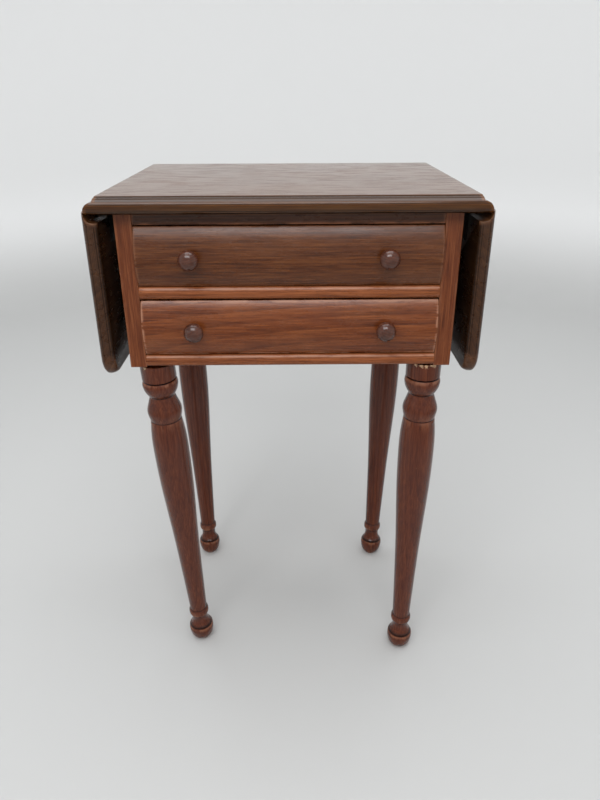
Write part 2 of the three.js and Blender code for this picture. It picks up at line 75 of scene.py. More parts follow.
CAMERA = {
    "place": (0.0068, -0.94825, 0.8464),  # metres
    "pan": -0.39, "down": 25.37, "roll": -0.25,  # degrees
    "lens": 29.52, "sensor": 36,
}

# Turned outlines as smooth runs of (radius, height along the axis, wear and shade), with a sharp step
# between runs.
# Negative values are painted shade in the grooves, steps and necks; positive ones are rubbed wear.
LEG_RUNS = (
    ((11.0, 0, 1.0), (12.6, 1.6, 0.8), (17.5, 9, 0.3), (19.8, 21, 0.1), (19.1, 28.4, 0.9)),
    ((17.8, 29.4, -0.8), (17.4, 31.6, -0.8), (14.4, 36, 0), (12.5, 44, 0), (13.2, 52.4, -0.3)),
    ((13.4, 53.2, -0.9), (15.2, 55.6, 0.7), (15.9, 60, 0.5), (15.3, 64.6, 0.3), (14.0, 67.2, -0.6)),
    ((13.8, 68.6, -0.5), (13.8, 75, 0), (18.2, 210, 0), (23.8, 327, 0), (24.6, 400, 0), (21.5, 436.4, 0.5)),
    ((20.7, 437.4, -1.0), (20.7, 438.4, -1.0), (21.7, 439.4, 0.3), (23.6, 452, 0.2), (19.5, 466, 0),
     (16.9, 474, 0)),
    ((17.3, 475, -0.6), (20.6, 480.5, 0), (22.9, 486, 0.2), (24.0, 493, 0.3), (22.7, 498.2, 1.0)),
    ((21.5, 499.0, -1.0), (21.5, 500.4, -1.0)),
    ((23.0, 501.4, 0.5), (23.0, 504, 0), (23.0, 523.4, 0)),
)
KNOB_RUNS = (
    ((8.6, 0, 0), (8.4, 1.4, 0.4), (8.1, 2, 0)),
    ((7.4, 3, -0.6), (6.9, 4.6, -0.5), (7.8, 6.4, -0.2), (10.0, 8, 0.2)),
    ((10.0, 8, 0.2), (11.8, 9.6, 0.6), (12.3, 11.6, 0.5), (11.8, 13.8, 0.3), (10.1, 16.2, 0.1),
     (6.2, 19.2, 0), (0.02, 20.9, 0)),
)
LEGS = {
    "front_left_leg": ((-177, -146), (-156, -102)),
    "front_right_leg": ((177, -146), (177, -125)),
    "back_left_leg": ((-182, 146), (-169, 126)),
    "back_right_leg": ((172, 146), (155, 120)),
}


# ---------------------------------------------------------------- places read from the CAD


def corners(node):
    """A CAD node's lowest and highest corners, in millimetres."""
    low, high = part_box(node)
    return Vector(low) / MM, Vector(high) / MM


BOARD_LOW, BOARD_HIGH = corners("top_board")
Y_MIDDLE = (BOARD_LOW.y + BOARD_HIGH.y) / 2
TOP = BOARD_HIGH.z
UNDERSIDE = BOARD_LOW.z
HALF_DEPTH = (BOARD_HIGH.y - BOARD_LOW.y) / 2
NOSE = TOP - MOULDING["quirk"] - MOULDING["drop"]
HINGE_Z = UNDERSIDE + RULE["barrel_depth"]
RULE_RADIUS = TOP - RULE["fillet"] - HINGE_Z
COVE_RADIUS = RULE_RADIUS + RULE["cove_clearance"]


# ---------------------------------------------------------------- meshes

BOX_FACES = ((0, 1, 3, 2), (4, 6, 7, 5), (0, 4, 5, 1), (2, 3, 7, 6), (0, 2, 6, 4), (1, 5, 7, 3))


def make(name, points, faces, wear_and_shade=None):
    """A smooth-shaded mesh object from points in millimetres, with its wear and painted shade kept as a
    point attribute.
    """
    mesh = bpy.data.meshes.new(name)
    mesh.from_pydata([Vector(p) * MM for p in points], [], faces)
    mesh.attributes.new("wear_and_shade", "FLOAT", "POINT").data.foreach_set("value", wear_and_shade or [0.0] * len(points))
    shell = bmesh.new()
    shell.from_mesh(mesh)
    bmesh.ops.recalc_face_normals(shell, faces=shell.faces)
    shell.to_mesh(mesh)
    shell.free()
    mesh.shade_smooth()
    thing = bpy.data.objects.new(name, mesh)
    bpy.context.scene.collection.objects.link(thing)
    return thing


def apply_modifiers(thing):
    """Replaces an object's mesh by what its modifiers make of it."""
    graph = bpy.context.evaluated_depsgraph_get()
    made = bpy.data.meshes.new_from_object(thing.evaluated_get(graph))
    thing.modifiers.clear()
    thing.data = made


def rub(thing, depth):
    """Wears the exposed edges of a piece inwards unevenly, by up to that many millimetres."""
    mesh = thing.data
    values = mesh.attributes["wear_and_shade"].data
    normals = [vertex.normal.copy() for vertex in mesh.vertices]
    for vertex, normal, value in zip(mesh.vertices, normals, values):
        worn = max(0.0, value.value)
        bite = max(0.0, noise.noise(vertex.co * 70)) + 0.5 * max(0.0, noise.noise(vertex.co * 230))
        vertex.co -= normal * (worn * bite * depth * MM)


def finish(thing, material, body, replaced):
    """Gives a piece its material, hangs it on the body it rides on and hides the CAD node it stands for."""
    thing.data.materials.clear()
    thing.data.materials.append(material)
    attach(thing, body)
    if replaced:
        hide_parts(replaced)
    return thing


def ring_faces(count, levels):
    """Faces between closed rings of points laid one after another, with both ends capped."""
    faces = [tuple(range(count)), tuple(range((levels - 1) * count, levels * count))]
    for level in range(levels - 1):
        for i in range(count):
            a = level * count + i
            b = level * count + (i + 1) % count
            faces.append((a, b, b + count, a + count))
    return faces


def catmull_rom(values, t):
    """The curve's value a share t of the way from the second of four values to the third."""
    a, b, c, d = values
    linear, square, cube = c - a, 2 * a - 5 * b + 4 * c - d, 3 * b - a - 3 * c + d
    return 0.5 * (2 * b + linear * t + square * t * t + cube * t ** 3)


def spline(stations, steps):
    """Points on a Catmull-Rom curve through the stations, whatever each one carries."""
    made = []
    last = len(stations) - 1
    for i in range(last):
        p0, p1, p2, p3 = (stations[min(max(i + k, 0), last)] for k in (-1, 0, 1, 2))
        for step in range(steps):
            t = step / steps
            made.append(tuple(catmull_rom(values, t) for values in zip(p0, p1, p2, p3)))
    made.append(tuple(stations[last]))
    return made


def fillet(before, corner, after, radius, steps=3):
    """The points that round a corner between two straight edges."""
    to_before = (before - corner).normalized()
    to_after = (after - corner).normalized()
    half = to_before.angle(to_after) / 2
    centre = corner + (to_before + to_after).normalized() * (radius / math.sin(half))
    start = corner + to_before * (radius / math.tan(half)) - centre
    sweep = math.pi - 2 * half
    side = 1 if to_after.cross(to_before) > 0 else -1
    return [centre + Matrix.Rotation(side * sweep * i / steps, 2) @ start for i in range(steps + 1)]


def section(outline):
    """A closed section from (u, v, radius) corners as (point, wear), its rounded corners worn."""
    made = []
    count = len(outline)
    for i, (u, v, radius) in enumerate(outline):
        corner = Vector((u, v))
        before = Vector(outline[i - 1][:2])
        after = Vector(outline[(i + 1) % count][:2])
        if radius == 0:
            made.append((corner, 0.0))
            continue
        made += faded(before, corner, outline[i - 1][2])[::-1]
        made += [(point, 1.0) for point in fillet(before, corner, after, radius)]
        made += faded(after, corner, outline[(i + 1) % count][2])
    return made


def faded(far, corner, far_radius):
    """Points leading away from a worn corner along a straight edge, where there is room for them."""
    edge = far - corner
    room = edge.length / 2 if far_radius else edge.length
    return [(corner + edge.normalized() * (EDGE + d), worn) for d, worn in FADE if EDGE + d < room - 0.2]


def shrunk(points, inset):
    """The points of a closed section moved inwards by a small distance."""
    count = len(points)
    made = []
    for i in range(count):
        along = points[(i + 1) % count][0] - points[i - 1][0]
        inward = Vector((-along.y, along.x)).normalized()
        made.append(points[i][0] + inward * inset)
    return made


def end_levels(start, end, edge):
    """Levels of a piece from start to end as (position, inset, wear), its end edges rounded and worn."""
    angles = [math.radians(degrees) for degrees in (8, 30, 60, 90)]
    arc = [(edge * (math.cos(angles[0]) - math.cos(a)), edge * (1 - math.sin(a)), 1.0) for a in angles]
    near = arc + [(edge + d, 0.0, worn) for d, worn in FADE]
    reach = near[-1][0]
    length = end - start
    count = max(1, round((length - 2 * reach) / STEP))
    middle = [(reach + (length - 2 * reach) * i / count, 0.0, 0.0) for i in range(1, count)]
    far = [(length - d, inset, worn) for d, inset, worn in reversed(near)]
    return [(start + d, inset, worn) for d, inset, worn in near + middle + far]


def beam(name, outline, start, end, axes, edge=EDGE):
    """A piece of constant section. axes names the section's u and v and the length, such as "yzx"."""
    cut = section(outline)
    points = []
    wear_and_shade = []
    levels = end_levels(start, end, edge)
    for position, inset, worn in levels:
        for flat, (_, own) in zip(shrunk(cut, inset), cut):
            place = dict(zip(axes, (flat.x, flat.y, position)))
            points.append((place["x"], place["y"], place["z"]))
            wear_and_shade.append(max(worn, own))
    return make(name, points, ring_faces(len(cut), len(levels)), wear_and_shade)


def box_outline(low, high, axes, edge=EDGE):
    """The anticlockwise outline of a box across two of its axes."""
    (u0, v0), (u1, v1) = ((getattr(c, axes[0]), getattr(c, axes[1])) for c in (low, high))
    return [(u0, v0, edge), (u1, v0, edge), (u1, v1, edge), (u0, v1, edge)]


def board(name, node, axes, edge=EDGE):
    """A plain board filling a CAD node's box, its length along the last of the axes."""
    low, high = corners(node)
    start, end = getattr(low, axes[2]), getattr(high, axes[2])
    return beam(name, box_outline(low, high, axes, edge), start, end, axes, edge)


def carve(thing, boxes):
    """Cuts boxes out of a piece."""
    points = []
    faces = []
    for low, high in boxes:
        base = len(points)
        points += box_points(low, high)
        faces += [tuple(base + i for i in quad) for quad in BOX_FACES]
    subtract(thing, make(thing.name + "_waste", points, faces))


def box_points(low, high):
    """The eight corners of a box, in the order that BOX_FACES counts them."""
    return list(product(*zip(low, high)))


def subtract(thing, waste):
    """Cuts one object out of another and throws the cutter away."""
    cut = thing.modifiers.new("cut", "BOOLEAN")
    cut.operation = "DIFFERENCE"
    cut.solver = "EXACT"
    cut.use_self = True
    cut.object = waste
    apply_modifiers(thing)
    bpy.data.objects.remove(waste)


def keep_crisp(thing, degrees=40):
    """Leaves edges sharper than an angle unsmoothed."""
    thing.data.set_sharp_from_angle(angle=math.radians(degrees))
    return thing


def softened(node, width=0.6):
    """A copy of a CAD node with its sharp edges taken off."""
    thing = bpy.data.objects.new(node + "_soft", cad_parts[node].data.copy())
    bpy.context.scene.collection.objects.link(thing)
    shell = bmesh.new()
    shell.from_mesh(thing.data)
    bmesh.ops.remove_doubles(shell, verts=shell.verts, dist=1e-6)
    bmesh.ops.dissolve_limit(shell, angle_limit=math.radians(1), verts=shell.verts, edges=shell.edges)
    shell.to_mesh(thing.data)
    shell.free()
    bevel = thing.modifiers.new("edges", "BEVEL")
    bevel.width = width * MM
    bevel.segments = 2
    bevel.limit_method = "ANGLE"
    bevel.angle_limit = math.radians(40)
    bevel.harden_normals = True
    thing.data.shade_smooth()
    apply_modifiers(thing)
    return thing


def turned(name, runs, base, top, steps=ROUND_STEPS, run_steps=5, level_ends=False):
    """A turned piece on the line from base to top. Level ends lie square to z however the line leans."""
    stations = [station for run in runs for station in spline(run, run_steps)]
    axis = Vector(top) - Vector(base)
    length = axis.length
    axis.normalize()
    lean = Vector((0, 0, 1)).rotation_difference(axis)
    points = []
    wear_and_shade = []
    for radius, height, worn in stations:
        height = min(height, length)
        tilt = min(1.0, height / 12, (length - height) / 12) if level_ends else 1.0
        for i in range(steps):
            angle = 2 * math.pi * i / steps
            flat = Vector((radius * math.cos(angle), radius * math.sin(angle), 0))
            tilted = lean @ flat
            points.append(Vector(base) + axis * height + flat.lerp(tilted, tilt))
            wear_and_shade.append(max(-1.0, min(1.0, worn)))
    return make(name, points, ring_faces(steps, len(stations)), wear_and_shade)


# ---------------------------------------------------------------- materials


class Graph:
    """A material's node tree, with a short call for each kind of node used here."""

    def __init__(self, name):
        self.material = bpy.data.materials.new(name)
        self.material.use_nodes = True
        self.tree = self.material.node_tree
        self.shader = self.tree.nodes["Principled BSDF"]

    def add(self, kind, inputs, **settings):
        node = self.tree.nodes.new(kind)
        for key, value in settings.items():
            setattr(node, key, value)
        for key, value in inputs.items():
            if isinstance(value, bpy.types.NodeSocket):
                self.tree.links.new(value, node.inputs[key])
            else:
                node.inputs[key].default_value = value
        return node

    def math(self, operation, a, b=0.0):
        return self.add("ShaderNodeMath", {0: a, 1: b}, operation=operation).outputs[0]

    def mix(self, amount, a, b):
        """One colour mixed into another. Colours are sockets or RGBA."""
        inputs = {0: amount, 6: a, 7: b}
        return self.add("ShaderNodeMix", inputs, data_type="RGBA", clamp_result=True).outputs[2]

    def between(self, value, low, high, to_low=0.0, to_high=1.0):
        """A value carried smoothly from one range to another, and held there."""
        inputs = {0: value, 1: low, 2: high, 3: to_low, 4: to_high}
        return self.add("ShaderNodeMapRange", inputs, interpolation_type="SMOOTHSTEP").outputs[0]

    def place(self, grain, origin=(0.0, 0.0, 0.0)):
        """Object coordinates in metres from an origin, turned so that the grain runs along X."""
        at = self.add("ShaderNodeTexCoord", {}).outputs["Object"]
        moved = self.add("ShaderNodeVectorMath", {0: at, 1: origin}, operation="SUBTRACT").outputs[0]
        parts = self.add("ShaderNodeSeparateXYZ", {0: moved})
        order = {"x": (0, 1, 2), "y": (1, 2, 0), "z": (2, 0, 1)}[grain]
        turned_parts = {i: parts.outputs[axis] for i, axis in enumerate(order)}
        return self.add("ShaderNodeCombineXYZ", turned_parts).outputs[0]

    def scaled(self, vector, x, y, z, shift=(0.0, 0.0, 0.0)):
        """A vector times three scales, after a shift in metres."""
        moved = self.add("ShaderNodeVectorMath", {0: vector, 1: shift}, operation="ADD").outputs[0]
        return self.add("ShaderNodeVectorMath", {0: moved, 1: (x, y, z)}, operation="MULTIPLY").outputs[0]

    def noise(self, vector, detail=3.0, roughness=0.55, distortion=0.0):
        inputs = {"Vector": vector, "Scale": 1.0, "Detail": detail, "Roughness": roughness}
        inputs["Distortion"] = distortion
        return self.add("ShaderNodeTexNoise", inputs).outputs["Fac"]

    def ramp(self, value, stops):
        """Colours at positions from 0 to 1."""
        node = self.add("ShaderNodeValToRGB", {0: value})
        elements = node.color_ramp.elements
        while len(elements) < len(stops):
            elements.new(0.5)
        for element, (position, colour) in zip(elements, stops):
            element.position = position
            element.color = rgba(colour)
        return node.outputs["Color"]

    def attribute(self, name):
        return self.add("ShaderNodeAttribute", {}, attribute_name=name).outputs["Fac"]

    def link(self, value, socket):
        self.tree.links.new(value, self.shader.inputs[socket])

    def bump(self, height, strength, depth):
        inputs = {"Height": height, "Strength": strength, "Distance": depth * MM}
        self.link(self.add("ShaderNodeBump", inputs).outputs[0], "Normal")


def rgba(colour):
    """A linear colour from display values out of 255."""
    def linear(value):
        value /= 255
        return value / 12.92 if value <= 0.04045 else ((value + 0.055) / 1.055) ** 2.4

    return (*[linear(value) for value in colour], 1.0)


def wood(
    name,
    grain,
    tones,
    worn,
    spacing=6.0,
    stretch=14.0,
    heart=(0.0, 0.0, 0.0),
    figure=5.0,
    weights=(0.3, 0.35, 0.35),
    speckle=0.3,
    blotch=None,
    scuffs=0.0,
    marks=(),
    gloss=(0.26, 0.36),
    ior=1.36,
    relief=0.12,
):
    """Wood with growth rings, streaks, fibres, pores, worn edges and painted shade in corners and creases.

    grain: the axis the fibres follow
    tones: dark, middle and light colours
    worn: the colour of rubbed edges
    spacing: of the rings, in millimetres
    stretch: how many times longer than wide the figure is
    heart: where the rings' centre is, in metres
    figure: how far the rings wander
    weights: how much rings, streaks and fibres count
    speckle: how dark the pores are
    blotch: colour and amount of cloudy fading
    scuffs: how much fine scratches show
    marks: chips, as (centre in millimetres, radius, colour)
    gloss: the roughness where it is polished and where it is dull
    relief: depth of the fibres and pores, in millimetres
    """
    g = Graph(name)
    place = g.place(grain, heart)
    ring_scale = 0.314 / (spacing * MM)
    wave = g.add(
        "ShaderNodeTexWave",
        {"Vector": g.scaled(place, ring_scale / stretch, ring_scale, ring_scale), "Scale": 1.0,
         "Distortion": figure, "Detail": 3.0, "Detail Scale": 0.7},
        wave_type="RINGS", rings_direction="SPHERICAL", wave_profile="SAW",
    ).outputs["Fac"]
    streak = g.noise(g.scaled(place, 4.0, 110.0, 110.0), 4.0, 0.55, 0.4)
    fibre = g.noise(g.scaled(place, 22.0, 800.0, 800.0), 3.0, 0.65)
    pore = g.noise(g.scaled(place, 130.0, 1500.0, 1500.0), 2.0, 0.5)

    ring_part = g.math("MULTIPLY", wave, weights[0])
    streak_part = g.math("MULTIPLY", g.between(streak, 0.1, 0.9), weights[1])
    fibre_part = g.math("MULTIPLY", g.between(fibre, 0.28, 0.72), weights[2])
    tone = g.math("ADD", g.math("ADD", ring_part, streak_part), fibre_part)
    colour = g.ramp(tone, [(0.1, tones[0]), (0.5, tones[1]), (0.9, tones[2])])

    if blotch:
        cloud = g.noise(g.scaled(place, 7.0, 22.0, 22.0, (0.3, 0.1, 0.7)), 5.0, 0.62)
        colour = g.mix(g.between(cloud, 0.42, 0.72, 0.0, blotch[1]), colour, rgba(blotch[0]))
    pores = g.between(pore, 0.6, 0.74)
    colour = g.mix(g.math("MULTIPLY", pores, speckle), colour, rgba([c * 0.3 for c in tones[0]]))
    if scuffs:
        thin = g.noise(g.scaled(place, 40.0, 420.0, 420.0, (0.2, 0.5, 0.1)), 4.0, 0.7, 1.2)
        colour = g.mix(g.between(thin, 0.68, 0.74, 0.0, scuffs), colour, rgba(worn))

    # Positive values of the point attribute are rubbed wear; negative ones are painted shade in steps,
    # grooves, necks and undersides.
    edge = g.attribute("wear_and_shade")
    patchy = g.noise(g.scaled(place, 25.0, 90.0, 90.0), 5.0, 0.65)
    exposed = g.math("MAXIMUM", edge, 0.0)
    rubbed = g.between(g.math("MULTIPLY", exposed, g.between(patchy, 0.3, 0.62)), 0.12, 0.8)
    colour = g.mix(g.math("MULTIPLY", rubbed, 0.55), colour, rgba(worn))
    # Painted shade: negative values darken the colour towards a quarter of the dark tone.
    painted_shade = g.math("MULTIPLY", g.math("MINIMUM", edge, 0.0), -1.0)
    colour = g.mix(painted_shade, colour, rgba([c * 0.25 for c in tones[0]]))

    for centre, radius, paint in marks:
        colour = mark(g, colour, centre, radius, paint)

    g.link(colour, "Base Color")
    dull = g.math("ADD", g.between(patchy, 0.3, 0.7), g.math("MULTIPLY", rubbed, 0.5))
    g.link(g.between(dull, 0.0, 1.2, *gloss), "Roughness")
    # Painted shade also turns the reflection down.
    g.link(g.between(painted_shade, 0.6, 1.0, 0.5, 0.05), "Specular IOR Level")
    g.shader.inputs["IOR"].default_value = ior
    height = g.math("SUBTRACT", g.math("MULTIPLY", fibre, 0.6), g.math("MULTIPLY", pores, 0.5))
    g.bump(height, 0.6, relief)
    return g.material


def mark(g, colour, centre, radius, paint):
    """A small ragged chip or patch of another colour round a point given in millimetres."""
    raggedness = 3.2 * radius * MM
    at = g.add("ShaderNodeTexCoord", {}).outputs["Object"]
    ragged = g.add("ShaderNodeTexNoise", {"Vector": at, "Scale": 420.0, "Detail": 4.0}).outputs["Color"]
    pulled = g.add("ShaderNodeVectorMath", {0: ragged, 1: (0.5, 0.5, 0.5)}, operation="SUBTRACT").outputs[0]
    pulled = g.add("ShaderNodeVectorMath", {0: pulled, "Scale": raggedness}, operation="SCALE").outputs[0]
    moved = g.add("ShaderNodeVectorMath", {0: at, 1: pulled}, operation="ADD").outputs[0]
    spot = tuple(c * MM for c in centre)
    away = g.add("ShaderNodeVectorMath", {0: moved, 1: spot}, operation="DISTANCE").outputs["Value"]
    return g.mix(g.between(away, radius * MM, radius * 0.7 * MM), colour, rgba(paint))


def steel(name):
    """Dark steel clouded with rust and flecked darker; the darkness is old steel's and painted shade."""
    g = Graph(name)
    place = g.place("x")
    cloud = g.noise(g.scaled(place, 160.0, 160.0, 160.0), 5.0, 0.65)
    fine = g.noise(g.scaled(place, 1500.0, 1500.0, 1500.0), 2.0)
    # These dark colours are old steel's own and also painted shade, dark for the gaps the hinges sit in.
    colour = g.ramp(cloud, [(0.3, (46, 40, 36)), (0.55, (66, 58, 52)), (0.72, (84, 52, 35))])
    g.link(g.mix(g.between(fine, 0.6, 0.75, 0.0, 0.4), colour, rgba((30, 26, 24))), "Base Color")
    g.link(g.between(cloud, 0.3, 0.7, 0.32, 0.62), "Roughness")
    g.shader.inputs["Metallic"].default_value = 0.85
    g.bump(fine, 0.5, 0.05)
    return g.material


def plaster(name, floor, front_floor, wall):
    """The plain pale backdrop. Its floor is darker than its walls, most of all in front of the table."""
    g = Graph(name)
    parts = g.add("ShaderNodeSeparateXYZ", {0: g.place("x")})
    ground = g.mix(g.between(parts.outputs[1], -1.2, -0.45), rgba(front_floor), rgba(floor))
    g.link(g.mix(g.between(parts.outputs[2], 0.0, 0.35), ground, rgba(wall)), "Base Color")
    g.shader.inputs["Roughness"].default_value = 0.9
    return g.material


EDGE_WEAR = (142, 88, 58)
BARE_WOOD = (190, 156, 122)
TOP_WOOD = wood(
    "top_wood", "x", [(64, 34, 9), (88, 50, 16), (106, 66, 27)], (118, 78, 50),
    spacing=9.0, stretch=20.0, heart=(0.3, 0.1, 0.6), figure=4.0, weights=(0.25, 0.25, 0.5), speckle=0.2,
    blotch=((66, 36, 14), 0.35), gloss=(0.12, 0.26), ior=1.42, relief=0.01,
)
# The leaves' own wood, painted darker than the top's as shade for the hanging leaves.
SHADED_LEAF_WOOD = wood(
    "leaf_wood", "y", [(44, 22, 9), (72, 42, 21), (96, 61, 35)], (126, 90, 66),
    spacing=9.0, stretch=20.0, heart=(0.0, 0.3, 0.4), figure=4.0, blotch=((88, 58, 38), 0.3), ior=1.36,
    relief=0.06,
)
CASE_WOOD = wood(
    "case_wood", "z", [(68, 28, 9), (108, 54, 26), (136, 78, 44)], EDGE_WEAR,
    spacing=4.0, stretch=30.0, heart=(0.0, -0.5, 0.3), figure=2.0, weights=(0.15, 0.3, 0.55), speckle=0.4,
    gloss=(0.3, 0.42),
)
RAIL_WOOD = wood(
    "rail_wood", "x", [(78, 33, 12), (128, 70, 36), (158, 92, 53)], (176, 126, 98),
    spacing=5.0, stretch=30.0, heart=(0.3, -0.19, 0.6), figure=4.0, weights=(0.15, 0.3, 0.55), speckle=0.5,
    marks=[((181, -175, 622), 3.2, (225, 214, 200)), ((181, -174, 628), 1.8, (225, 214, 200))],
)
# The rail's wood painted dark as the shade under the overhanging top.
SHADED_TOP_RAIL_WOOD = wood(
    "top_rail_wood", "x", [(40, 19, 8), (66, 35, 17), (90, 52, 29)], EDGE_WEAR,
    spacing=5.0, stretch=30.0, heart=(0.3, -0.19, 0.6), figure=3.0,
)
UPPER_DRAWER_WOOD = wood(
    "upper_drawer_wood", "x", [(42, 15, 3), (84, 42, 16), (116, 68, 32)], (128, 82, 56),
    spacing=5.0, stretch=18.0, heart=(-0.12, -0.196, 0.56), figure=5.0, weights=(0.15, 0.3, 0.55),
    speckle=0.5, blotch=((120, 74, 44), 0.3), gloss=(0.24, 0.34), ior=1.4,
    marks=[((-101, -181, 672), 2.2, (34, 16, 10)), ((102, -176, 697), 2.6, (40, 20, 14)),
           ((113, -175, 697), 1.8, (40, 20, 14))],
)
LOWER_DRAWER_WOOD = wood(
    "lower_drawer_wood", "x", [(58, 20, 5), (106, 51, 20), (138, 77, 38)], (186, 136, 108),
    spacing=14.0, stretch=5.5, heart=(0.22, -0.21, 0.49), figure=2.2, weights=(0.25, 0.25, 0.5),
    speckle=0.45, blotch=((140, 84, 48), 0.35), gloss=(0.24, 0.34), ior=1.4,
)
LEG_WOOD = wood(
    "leg_wood", "z", [(58, 20, 7), (84, 36, 15), (104, 51, 25)], (150, 98, 70),
    spacing=6.0, stretch=30.0, heart=(0.0, 0.17, -0.1), figure=4.0, weights=(0.2, 0.3, 0.5), speckle=0.3,
    scuffs=0.45, gloss=(0.16, 0.26), ior=1.4, relief=0.05,
    marks=[((163, -159.5, 522), 2.8, BARE_WOOD), ((170, -163.5, 521.5), 3.0, BARE_WOOD),
           ((176, -164.5, 521), 3.0, BARE_WOOD), ((183, -163.5, 522), 2.8, BARE_WOOD),
           ((188, -161.5, 521.5), 3.0, BARE_WOOD), ((-190, -160.5, 520), 2.4, BARE_WOOD)],
)
KNOB_WOOD = wood(
    "knob_wood", "y", [(50, 24, 16), (74, 39, 26), (96, 55, 39)], (128, 84, 60),
    spacing=3.0, stretch=12.0, heart=(0.0, -0.1, 0.3), figure=3.0, weights=(0.3, 0.5, 0.2), speckle=0.1,
    gloss=(0.14, 0.22), ior=1.5, relief=0.01,
)
BACK_WOOD = wood(
    "back_wood", "x", [(60, 32, 18), (92, 54, 32), (116, 75, 48)], EDGE_WEAR,
    spacing=13.0, stretch=9.0, heart=(-0.1, 0.23, 0.6), figure=7.0, weights=(0.2, 0.4, 0.4),
    blotch=((74, 44, 28), 0.4), gloss=(0.6, 0.75),
)
INSIDE_WOODS = {
    grain: wood(
        "inside_wood_" + grain, grain, [(132, 92, 52), (172, 128, 80), (200, 160, 110)], (186, 144, 98),
        spacing=6.0, stretch=12.0, heart=(0.0, -0.25, 0.4), figure=4.0, weights=(0.4, 0.3, 0.3),
        speckle=0.25, blotch=((124, 88, 54), 0.5), gloss=(0.62, 0.78),
    )
    for grain in "xyz"
}
BRACKET_WOOD = wood(
    "bracket_wood", "y", [(84, 48, 26), (126, 80, 48), (156, 108, 70)], EDGE_WEAR,
    spacing=4.0, stretch=30.0, heart=(0.0, -0.2, 0.5), figure=3.0, gloss=(0.55, 0.7),
)
SHADED_HINGE_STEEL = steel("hinge_steel")


# ---------------------------------------------------------------- top board and leaves


def moulded_levels():
    """Heights down the moulded edge as (height, inset, wear and shade), from the flat of the top to the
    underside.
    """
    run, drop, tuck = MOULDING["run"], MOULDING["drop"], MOULDING["tuck"]
    quirk_foot = NOSE + drop
    levels = [(TOP, run + 4.9, 0.0), (TOP, run + 2.4, 0.0), (TOP, run + 0.5, 0.1)]
    # From the quirk down the values are negative: painted shade on the quirk, the nose and, darkest, the
    # tucked underside.
    levels += [(TOP - 0.15, run + 0.15, -0.2), (TOP - 0.5, run, -0.5), (quirk_foot, run, -0.8)]
    for i in range(1, 13):
        angle = math.pi / 2 * i / 12
        inset = run - run * math.sin(angle)
        levels.append((NOSE + drop * math.cos(angle), inset, -0.68))
    tucked = NOSE - UNDERSIDE
    for i in range(1, 11):
        angle = math.pi / 2 * i / 10
        levels.append((NOSE - tucked * math.sin(angle), tuck - tuck * math.cos(angle), -0.7 - 0.015 * i))
    return levels


def moulded_inset(height):
    """How far the moulded edge is in from its widest at a height."""
    run, drop, tuck = MOULDING["run"], MOULDING["drop"], MOULDING["tuck"]
    if height >= NOSE + drop:
        return run
    if height >= NOSE:
        return run - run * math.sqrt(max(0.0, 1 - ((height - NOSE) / drop) ** 2))
    return tuck - tuck * math.sqrt(max(0.0, 1 - ((NOSE - height) / (NOSE - UNDERSIDE)) ** 2))


def rule_reach(height, radius, lip):
    """How far the rule joint's surface is from the hinge axis at a height."""
    if height <= HINGE_Z:
        return radius
    if height >= HINGE_Z + radius:
        return lip
    return max(lip, math.sqrt(radius ** 2 - (height - HINGE_Z) ** 2))


def joint_levels(radius):
    """Extra heights that the rule joint's curve needs, as (height, inset, wear)."""
    heights = [HINGE_Z + radius * math.sin(math.pi / 2 * i / 10) for i in range(11)]
    return [(height, moulded_inset(height), 0.0) for height in heights]


def ring(x_span, half, radii, z, wear_and_shade_x, wear_and_shade_y, nominal):
    """A rounded rectangle of points at one height, as (point, value), the values being wear and painted
    shade.

    Its corners start at +x +y and go round by -x +y. wear_and_shade_x is for its ends and wear_and_shade_y
    for its long edges.
    nominal is the size that sets how many points its edges get, so that all rings of a piece get as many.
    """
    x0, x1 = x_span
    places = ((x1, half, 1, 1), (x0, half, -1, 1), (x0, -half, -1, -1), (x1, -half, 1, -1))
    turns = []
    for quarter, ((cx, cy, sx, sy), radius) in enumerate(zip(places, radii)):
        steps = 3 if radius < SHARP else 12
        angles = [(quarter + i / steps) * math.pi / 2 for i in range(steps + 1)]
        x, y = cx - sx * radius, cy - sy * radius
        turns.append([(x + radius * math.cos(a), y + radius * math.sin(a)) for a in angles])
    made = []
    for i, turn in enumerate(turns):
        along_x = i % 2 == 0
        worn = wear_and_shade_y if along_x else wear_and_shade_x
        following = (i + 1) % 4
        sharp = (radii[i] < SHARP, radii[following] < SHARP)
        # Sharp corners keep their lightening over shaded levels: wear, and a painted highlight at the cove
        # tip.
        corner = max(wear_and_shade_x, wear_and_shade_y, CORNER_WEAR_AND_HIGHLIGHT) if sharp[0] else max(wear_and_shade_x, wear_and_shade_y)
        made += [((x, y, z), corner) for x, y in turn]
        count = round(nominal[0 if along_x else 1] / STEP)
        between = straight(Vector(turn[-1]), Vector(turns[following][0]), sharp, count, worn)
        made += [((at.x, at.y, z), own) for at, own in between]
    return made


def straight(start, end, sharp, count, worn):
    """Points between two corners of a ring as (place, wear). Beside a sharp corner its wear fades out."""
    run = end - start
    offsets = [(run.length * k / count, 0.0) for k in range(1, count)]
    if sharp[0]:
        offsets += FADE
    if sharp[1]:
        offsets += [(run.length - distance, amount) for distance, amount in FADE]
    return [
        (start + run.normalized() * distance, max(worn, CORNER_WEAR_AND_HIGHLIGHT * amount) if amount else worn)
        for distance, amount in sorted(offsets)
    ]


def stacked(name, rings):
    """A piece from rings of (point, wear and shade) laid one above another. Each end flat takes its ring's
    least value.
    """
    # An underside thus takes the painted shade of its tucked edge.
    for end in (0, -1):
        least = min(worn for _, worn in rings[end])
        rings[end] = [(point, least) for point, _ in rings[end]]
    points = [point for one in rings for point, _ in one]
    wear_and_shade = [worn for one in rings for _, worn in one]
    return make(name, points, ring_faces(len(rings[0]), len(rings)), wear_and_shade)


